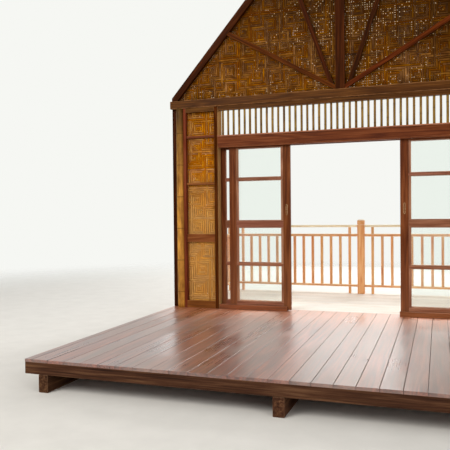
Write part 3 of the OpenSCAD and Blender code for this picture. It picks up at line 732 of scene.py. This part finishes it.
def wall_timbers():
    head_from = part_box("transom_ledge")[0].z - 0.16
    beam_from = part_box("transom_head")[0].z - 0.03

    def stud_kind(low):
        """1 for the studs at the corners of the room, 0 for those beside the doors."""
        return int(abs(low.x) > CORNER_FROM)

    def rail_kind(low):
        """2 for the rails level with the transom's head, 1 with its ledge and the door head, 0 below."""
        return 2 if low.z > beam_from else 1 if low.z > head_from else 0

    for side in SIDES:
        from_node(f"corner_post_timber_{side}", f"corner_post_{side}", "dark_timber", DARK, 4 * MM)
        from_node(f"wall_stud_timbers_{side}", f"wall_studs_{side}", "dark_timber",
                  [DOOR_STUD, CORNER_STUD], 3 * MM, pick=stud_kind)
        from_node(f"side_rail_timbers_{side}", f"side_rails_{side}", "red_timber", [SIDE_RAIL, RED, BEAM],
                  2.5 * MM, pick=rail_kind)
    for name, node, material, width in (
        ("door_head_board", "door_head", RED, 5 * MM),
        ("outer_head_board", "outer_head", RED, 4 * MM),
        ("transom_ledge_board", "transom_ledge", LIT_LEDGE, 3 * MM),
        ("transom_head_board", "transom_head", BEAM, 4 * MM),
        ("tie_beam_timber", "tie_beam", BEAM, 7 * MM),
        ("door_kerb_timbers", "door_kerbs", RED, 5 * MM),
    ):
        from_node(name, node, "red_timber", material, width)


def corner_poles():
    """A bamboo pole in each corner of the room."""
    joints = [POLE_JOINTS / 2 + POLE_JOINTS * k for k in range(6)]
    for side, sign in SIDES.items():
        low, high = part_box(f"corner_pole_{side}")
        foot = (POLE_X * sign, WALL_Y + POLE_OUT, low.z)
        store = Store()
        add_stem(store, foot, high.z - low.z, POLE_RADIUS * 0.99, joints, around=28, bend=1.5 * MM,
                 tone=0.55, ring=1.2)
        store.build(f"corner_pole_stem_{side}", "bamboo", POLE, f"corner_pole_{side}")


def transom():
    """A row of upright bamboo bars, each with one joint at a height of its own."""
    low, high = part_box("transom_bars")
    height = high.z - low.z
    store = Store()
    for k in range(BAR_COUNT):
        x = (k - (BAR_COUNT - 1) / 2) * BAR_PITCH + rng.uniform(-2, 2) * MM
        foot = (x, (low.y + high.y) / 2, low.z)
        joints = [(0.1 + 0.75 * (k * 0.618 % 1)) * height]
        add_stem(store, foot, height, BAR_RADIUS * rng.uniform(0.90, 0.99), joints, around=14,
                 bend=rng.uniform(-1.5, 1.5) * MM, ring=1.6, step=0.05)
    store.build("transom_bar_stems", "bamboo", BARS, "transom_bars")


# Truss

ROOF_PITCH = math.radians(48.7)
RAFTER_SEAT = 0.070
HALF_KING = 0.054
HALF_STRUT = 0.025
STRUT_FRONT = 8 * MM
STRUT_BACK = 54 * MM


def strut(bay, foot_x, heel, share):
    """A strut on the right: its outline, its direction, and its top edge as a point and the way up.

    It runs from the king post, the heel above the tie beam, to under the rafter, a share of the way out.
    """
    start = Vector((HALF_KING, TIE_TOP + heel))
    end = Vector((share * foot_x, TIE_TOP + (1 - share) * foot_x * math.tan(ROOF_PITCH)))
    way = (end - start).normalized()
    up = Vector((-way.y, way.x))
    outline = clip(bay, *(start + up * HALF_STRUT), *up)
    outline = clip(outline, *(start - up * HALF_STRUT), *(-up))
    return outline, way, start + up * HALF_STRUT, up


def truss():
    foot_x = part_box("rafter_right")[1].x - RAFTER_SEAT
    bay = [(HALF_KING, TIE_TOP), (foot_x, TIE_TOP),
           (HALF_KING, TIE_TOP + (foot_x - HALF_KING) * math.tan(ROOF_PITCH))]
    low, low_way, low_edge, low_up = strut(bay, foot_x, heel=0.022, share=0.665)
    steep, steep_way, _, _ = strut(bay, foot_x, heel=-0.079, share=0.315)
    steep = clip(steep, *low_edge, *(-low_up))
    from_node("king_post_timber", "king_post", "dark_timber", DARK, 4 * MM)
    for side, sign in SIDES.items():
        slope = (-sign * math.cos(ROOF_PITCH), 0, math.sin(ROOF_PITCH))
        from_node(f"rafter_timber_{side}", f"rafter_{side}", "dark_timber", DARK, 4 * MM, along=slope)
        store = Store()
        for slot, (outline, way) in enumerate(((low, low_way), (steep, steep_way))):
            mirrored = [(sign * x, z) for x, z in outline]
            add_upright(store, mirrored, WALL_Y + STRUT_FRONT, WALL_Y + STRUT_BACK, 3 * MM,
                        along=(sign * way.x, 0, way.y), slot=slot)
        store.build(f"strut_timbers_{side}", "dark_timber", [LOW_STRUT, DARK], f"struts_{side}")
    from_node("gable_stud_timbers", "gable_studs", "dark_timber", DARK, 3 * MM, along=(0, 0, 1))


# Woven matting

# A strip's width, and how far it lies in front of or behind the mat's middle
STRIP = 0.026
STRIP_LIFT = 0.75 * MM
MAT_MID = 2.5 * MM


def bands(count):
    """Bands of four to eleven strips, marked 0 and 1 in turn."""
    marks = []
    mark = 0
    while len(marks) < count:
        marks += [mark] * rng.choice((4, 6, 8, 9, 11))
        mark = 1 - mark
    return marks


def pinholes(xs, zs, looseness):
    """How far the strips draw back where light comes through, by the corner's column and row."""
    loose = [rng.random() ** 2 for _ in xs]
    holes = {}
    for c, x in enumerate(xs[1:-1], 1):
        for r, z in enumerate(zs[1:-1], 1):
            patch = max(0, 1 + 2.2 * noise.noise(Vector((c * 0.14, r * 0.14, 5.1))))
            if rng.random() < min(0.7, looseness(x, z) * patch * (0.3 + 1.6 * loose[c])):
                holes[c, r] = rng.uniform(1.1, 2.2) * MM
    return holes


def path_of(states, centres, low, high):
    """How far out a strip lies along its way: in front of the strips that it passes over, or behind."""
    margin, flat, end_flat = 0.2 * STRIP, 0.33 * STRIP, 0.34 * STRIP
    runs = []
    for state, centre in zip(states, centres):
        if not low + margin < centre < high - margin:
            continue
        if runs and runs[-1][0] == state:
            runs[-1][2] = centre
        else:
            runs.append([state, centre, centre])
    if not runs:
        return []
    runs[0][1] = min(runs[0][1], low + end_flat)
    runs[-1][2] = max(runs[-1][2], high - end_flat)
    path = []
    for state, first, last in runs:
        out = STRIP_LIFT if state else -STRIP_LIFT
        a, b = first - flat, last + flat
        path += [(a, out), ((a + b) / 2, out * 1.5), (b, out)]
    path[0] = (low, path[0][1])
    path[-1] = (high, path[-1][1])
    return path


def pinches_of(holes, crossed, k, lying):
    """Where a strip is drawn in at its corners, and how far at its low side and at its high side."""
    pinches = []
    for j in range(1, len(crossed) - 1):
        corners = ((j, k), (j, k + 1)) if lying else ((k, j), (k + 1, j))
        drawn = [holes.get(corner, 0.0) for corner in corners]
        if any(drawn):
            pinches.append((crossed[j], *drawn))
    return pinches


def with_pinches(path, pinches):
    """Adds the places where a strip is drawn in at its low side, its high side or both."""
    full = [(at, out, 0.0, 0.0) for at, out in path]
    for corner, low_side, high_side in pinches:
        for shift, share in ((-5 * MM, 0), (-2 * MM, 1), (2 * MM, 1), (5 * MM, 0)):
            at = corner + shift
            if path[0][0] < at < path[-1][0]:
                (a, out_a), (b, out_b) = next(pair for pair in zip(path, path[1:]) if at <= pair[1][0])
                out = out_a + (out_b - out_a) * (at - a) / (b - a)
                full.append((at, out, share * low_side, share * high_side))
    return sorted(full)


def add_strip(store, path, middle, width, lying, y_mid, tone):
    """Adds one strip along its path, its face slightly rounded and its sides drawn in at the pinches."""
    shift = grain_start()
    lean = rng.uniform(-0.5, 0.5) * MM
    thick, crown = 0.9 * MM, 0.6 * MM
    section = [(-0.5, 0.0), (-0.22, -crown), (0.22, -crown), (0.5, 0.0), (0.0, thick)]
    low, high = path[0][0], path[-1][0]
    points, grain, edge = [], [], []
    for at, out, low_side, high_side in path:
        drift = lean * (at - low) / (high - low)
        for share, y in section:
            across = share * width + (low_side if share < 0 else -high_side if share > 0 else 0.0)
            cross = middle + across + drift
            place = (at, cross) if lying else (cross, at)
            points.append((place[0], y_mid - out + y, place[1]))
            grain.append(Vector((at, share * width, y)) + shift)
            drawn = low_side if share < 0 else high_side
            edge.append(0.0 if abs(share) < 0.45 else -1.0 if drawn else 1.0)
    around = len(section)
    faces = []
    for row in range(len(path) - 1):
        for k in range(around):
            a, b = row * around + k, row * around + (k + 1) % around
            faces.append((a, a + around, b + around, b))
    faces.append(tuple(range(around)))
    last = (len(path) - 1) * around
    faces.append(tuple(last + k for k in range(around))[::-1])
    if not lying:
        faces = [f[::-1] for f in faces]
    store.add(points, faces, grain, edge, tone, smooth=True)


def strip_tone():
    """Most strips are of a middle tone, some darker with smoke, some fresh."""
    pick = rng.random()
    low, high = (0.0, 0.25) if pick < 0.20 else (0.30, 0.65) if pick < 0.82 else (0.7, 1.0)
    return rng.uniform(low, high)


def weave(name, low, high, looseness, material, node, steep=None):
    """Weaves a mat in a box, its lying strips as one piece and its standing strips as another.

    Slanting bands of strips cross and make nested squares. steep is the slope of a gable's two sides.
    """
    columns = math.floor((high.x - low.x) / STRIP)
    rows = math.floor((high.z - low.z) / STRIP)
    pitch_x, pitch_z = (high.x - low.x) / columns, (high.z - low.z) / rows
    xs = [low.x + k * pitch_x for k in range(columns + 1)]
    zs = [low.z + k * pitch_z for k in range(rows + 1)]
    holes = pinholes(xs, zs, looseness)
    rising, falling = bands(rows + columns), bands(rows + columns)
    over = [[rising[r + c] == falling[r - c + columns] for c in range(columns)] for r in range(rows)]
    middle, y_mid = (low.x + high.x) / 2, low.y + MAT_MID
    for lying, key in ((True, "lying"), (False, "standing")):
        sides, crossed = (zs, xs) if lying else (xs, zs)
        centres = [(a + b) / 2 for a, b in zip(crossed, crossed[1:])]
        store = Store()
        for k in range(len(sides) - 1):
            gap = rng.uniform(0.6, 1.5) * MM
            start, end = sides[k] + gap / 2, sides[k + 1] - gap / 2
            first, last = crossed[0], crossed[-1]
            if steep and lying:
                half = (high.z - end) / steep
                first, last = middle - half, middle + half
            elif steep:
                last = high.z - max(abs(start - middle), abs(end - middle)) * steep
            states = over[k] if lying else [not row[k] for row in over]
            path = path_of(states, centres, first, last) if last - first > 0.6 * STRIP else []
            if path:
                path = with_pinches(path, pinches_of(holes, crossed, k, lying))
                add_strip(store, path, (start + end) / 2, end - start, lying, y_mid, strip_tone())
        store.build(f"{name}_{key}_strips", "woven_matting", material, node)


def matting():
    low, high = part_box("gable_matting")
    foot = low.z

    def gable_looseness(x, z):
        """The share of open corners: most beside the king post, more on its right, and along the beam."""
        near_king = (0.58 if x > 0 else 0.22) * math.exp(-((x / 0.60) ** 2))
        along_beam = 0.20 * math.exp(-(((z - foot) / 0.10) ** 2))
        return 0.034 + near_king * min(1, 0.25 + (z - foot) / 0.9) + along_beam

    weave("gable_mat", low, high, gable_looseness, GABLE_MAT, "gable_matting",
          steep=(high.z - low.z) / high.x)
    for side in SIDES:
        low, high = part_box(f"side_matting_{side}")
        weave(f"side_mat_{side}", low, high, lambda x, z: 0.01, SIDE_MAT, f"side_matting_{side}")


# Doors

# The low and the high edge of each light above the floor, and a bead's height and half depth
LIGHTS = [(0.108, 0.5475), (0.5945, 1.027), (1.127, 1.6215), (1.6685, 2.028)]
BEAD_TALL = 10 * MM
HALF_BEAD = 12 * MM


def glazed_frame(store, low, high, stile, bead):
    """A frame with four lights: stiles, rails between them, and a bead round each light."""
    left, right = low.x + stile, high.x - stile
    for start, end, tone in ((low.x, left, 0.5), (right, high.x, 0.4)):
        add_board(store, (start, low.y, low.z), (end, high.y, high.z), 3 * MM, (0, 0, 1), tone)
    bottoms = [low.z] + [top + FLOOR_Z + BEAD_TALL for _, top in LIGHTS]
    tops = [bottom + FLOOR_Z - BEAD_TALL for bottom, _ in LIGHTS] + [high.z]
    for k, (bottom, top) in enumerate(zip(bottoms, tops)):
        add_board(store, (left, low.y, bottom), (right, high.y, top), 3 * MM, (1, 0, 0),
                  slot=2 if k < len(LIGHTS) else 0)
    front, back = (low.y + high.y) / 2 - HALF_BEAD, (low.y + high.y) / 2 + HALF_BEAD
    for bottom, top in LIGHTS:
        bottom, top = bottom + FLOOR_Z, top + FLOOR_Z
        for start, end in ((left, left + bead), (right - bead, right)):
            add_board(store, (start, front, bottom - BEAD_TALL), (end, back, top + BEAD_TALL), 2.5 * MM,
                      (0, 0, 1), slot=1)
        for level in (bottom - BEAD_TALL, top):
            add_board(store, (left + bead, front, level), (right - bead, back, level + BEAD_TALL),
                      2.5 * MM, (1, 0, 0), slot=1)


def doors():
    """The side lights and the sliding leaves, with their glass, hangers, pulls and track."""
    for side in SIDES:
        leaf = f"{side}_leaf"
        for kind, glass, body, stile, bead in (("fixed_light", "fixed_glass", "frame", 0.060, 0.010),
                                               ("leaf", "leaf_glass", leaf, 0.092, 0.030)):
            node = f"{kind}_{side}"
            store = Store()
            glazed_frame(store, *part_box(node), stile, bead)
            store.build(f"{kind}_frame_{side}", "red_timber", [RED, LIT_BEAD, DOOR_RAIL], node, body=body)
            panes = from_node(f"{glass}_panes_{side}", f"{glass}_{side}", "pane_glass", GLASS, 0.3 * MM,
                              body=body)
            panes.visible_shadow = False
        from_node(f"hanger_steel_{side}", f"leaf_hangers_{side}", "track_steel", STEEL, 0.8 * MM,
                  body=leaf)
        from_node(f"pull_plates_{side}", f"leaf_pulls_{side}", "pull_metal", BRASS, 0.8 * MM, body=leaf)
    from_node("track_channel", "door_track", "track_steel", STEEL, 0.5 * MM)


# Railing

# Each rail's low edge above the floor, its height, half its width, and its material's place in the list
RAILS = [(0.993, 0.034, 0.031, 1), (0.854, 0.041, 0.023, 0), (0.100, 0.036, 0.023, 0)]
HALF_POST = 0.050

# The balusters: half their width, their pitch, the first one from a post's middle, and their two ends
HALF_BALUSTER = 0.0185
BALUSTER_PITCH = 0.140
END_BALUSTER = 0.168
BALUSTER_LOW, BALUSTER_HIGH = 0.118, 0.862

# The lines of the railing, across and out from the wall, and of its posts at the wall
RAILING_X = 2.016
RAILING_OUT = 1.958
WALL_POST_OUT = 0.228


def add_bay(store, start, end, line, along_x):
    """Adds the rails and balusters between the middles of two main posts. The end ones go to the floor."""
    def place(at, across, z):
        return (at, line + across, z + FLOOR_Z) if along_x else (line + across, at, z + FLOOR_Z)

    def add_baluster(at, low, high):
        add_board(store, place(at - HALF_BALUSTER, -HALF_BALUSTER, low),
                  place(at + HALF_BALUSTER, HALF_BALUSTER, high), 3 * MM)

    way = (1, 0, 0) if along_x else (0, 1, 0)
    for low, tall, half, slot in RAILS:
        add_board(store, place(start + HALF_POST, -half, low), place(end - HALF_POST, half, low + tall),
                  11 * MM, way, slot=slot)
    for at in (start + END_BALUSTER, end - END_BALUSTER):
        add_baluster(at, 0, RAILS[0][0])
    length = end - start - 2 * END_BALUSTER
    count = round(length / BALUSTER_PITCH)
    for k in range(1, count):
        add_baluster(start + END_BALUSTER + k * (length / count), BALUSTER_LOW, BALUSTER_HIGH)


def railing():
    from_node("railing_post_timbers", "railing_posts", "railing_timber", RAILING, 3 * MM, along=(0, 0, 1))
    line_y = WALL_Y + RAILING_OUT
    store = Store()
    add_bay(store, -RAILING_X, 0.0, line_y, True)
    add_bay(store, 0.0, RAILING_X, line_y, True)
    store.build("railing_bays_front", "railing_timber", [RAILING, SUNLIT_TOP_RAIL], "railing_front")
    for side, sign in SIDES.items():
        store = Store()
        add_bay(store, WALL_Y + WALL_POST_OUT, line_y, sign * RAILING_X, False)
        store.build(f"railing_bay_{side}", "railing_timber", [RAILING, SUNLIT_TOP_RAIL], f"railing_{side}")


# Studio

# Each lamp's name, place, aim, size, watts and colour
LAMPS = [
    ("key", (-4.5, -9.0, 6.5), (0.0, 0.5, 1.8), (5.0, 5.0), 640, (1.0, 0.96, 0.90)),
    ("fill", (7.5, -7.5, 4.0), (0.0, 0.5, 1.8), (5.0, 5.0), 300, (1.0, 0.97, 0.93)),
    ("sky", (1.5, 8.5, 8.5), (0.0, 1.6, 0.6), (6.0, 4.0), 800, (1.0, 0.99, 0.97)),
    ("garden", (-0.3, 10.0, 2.9), (0.0, 0.5, 1.2), (13.0, 4.6), 205, (1.0, 1.0, 0.98)),
]


def backdrop():
    """Even light from all around. It looks paler where it is seen, through glass or mirrored too."""
    world = bpy.data.worlds.new("studio")
    scene.world = world
    world.use_nodes = True
    sky = Nodes(world.node_tree)
    rays = sky.add("ShaderNodeLightPath").outputs
    straight = sky.sums("MAXIMUM", rays["Is Camera Ray"], rays["Is Transmission Ray"])
    toward = sky.split(sky.add("ShaderNodeTexCoord").outputs["Generated"])[1]
    mirrored = sky.times(rays["Is Glossy Ray"], sky.spread(toward, -0.3, 0.3, 0.2, 1.0))
    share = sky.sums("MAXIMUM", straight, mirrored)
    lit = sky.add("ShaderNodeBackground", {0: (1.0, 0.98, 0.95, 1), 1: WORLD_LIGHT}).outputs[0]
    seen = sky.add("ShaderNodeBackground", {0: rgb(246, 247, 243), 1: 1.0}).outputs[0]
    mix = sky.add("ShaderNodeMixShader", {0: share, 1: lit, 2: seen}).outputs[0]
    sky.add("ShaderNodeOutputWorld", {0: mix})


def ground():
    """A pale floor that fades out around the piece."""
    bpy.ops.mesh.primitive_plane_add(size=120, location=(0, 0, 0))
    plane = bpy.context.object
    plane.name = "studio_floor"
    paint = Paint("studio_floor")
    place = paint.place()
    speckle = paint.noise(place, detail=3, scale=4.0)
    paint.set(Base_Color=paint.ramp(speckle, (0.3, rgb(226, 225, 221)), (0.7, rgb(232, 231, 227))),
              Roughness=0.9, Specular_IOR_Level=0.1)
    away = paint.add("ShaderNodeVectorMath", {0: place}, operation="LENGTH").outputs["Value"]
    away = paint.spread(away, 6.5, 13.0, smooth=True)
    clear = paint.add("ShaderNodeBsdfTransparent").outputs[0]
    fade_and_glow = paint.add("ShaderNodeMixShader", {0: away, 1: paint.shader.outputs[0], 2: clear})
    paint.put(paint.out.inputs[0], fade_and_glow.outputs[0])
    plane.data.materials.append(paint.material)


def lamps():
    for name, place, aim, size, watts, colour in LAMPS:
        lamp = bpy.data.lights.new(name, "AREA")
        lamp.shape = "RECTANGLE"
        lamp.size, lamp.size_y = size
        lamp.energy = watts
        lamp.color = colour
        obj = bpy.data.objects.new(name, lamp)
        obj.location = place
        obj.rotation_euler = (Vector(aim) - Vector(place)).to_track_quat("-Z", "Y").to_euler()
        obj.visible_camera = False
        obj.visible_transmission = False
        scene.collection.objects.link(obj)


def camera():
    right = Vector(CAMERA_RIGHT).normalized()
    back = right.cross(Vector(CAMERA_UP)).normalized()
    up = back.cross(right)
    data = bpy.data.cameras.new("camera")
    data.sensor_width = 36
    data.lens = CAMERA_LENS
    data.clip_end = 300
    obj = bpy.data.objects.new("camera", data)
    rows = [(right[k], up[k], back[k], CAMERA_AT[k]) for k in range(3)]
    obj.matrix_world = Matrix(rows + [(0, 0, 0, 1)])
    scene.collection.objects.link(obj)
    scene.camera = obj


floors()
wall_timbers()
corner_poles()
transom()
truss()
matting()
doors()
railing()
backdrop()
ground()
lamps()
camera()
scene.view_settings.view_transform = "Standard"
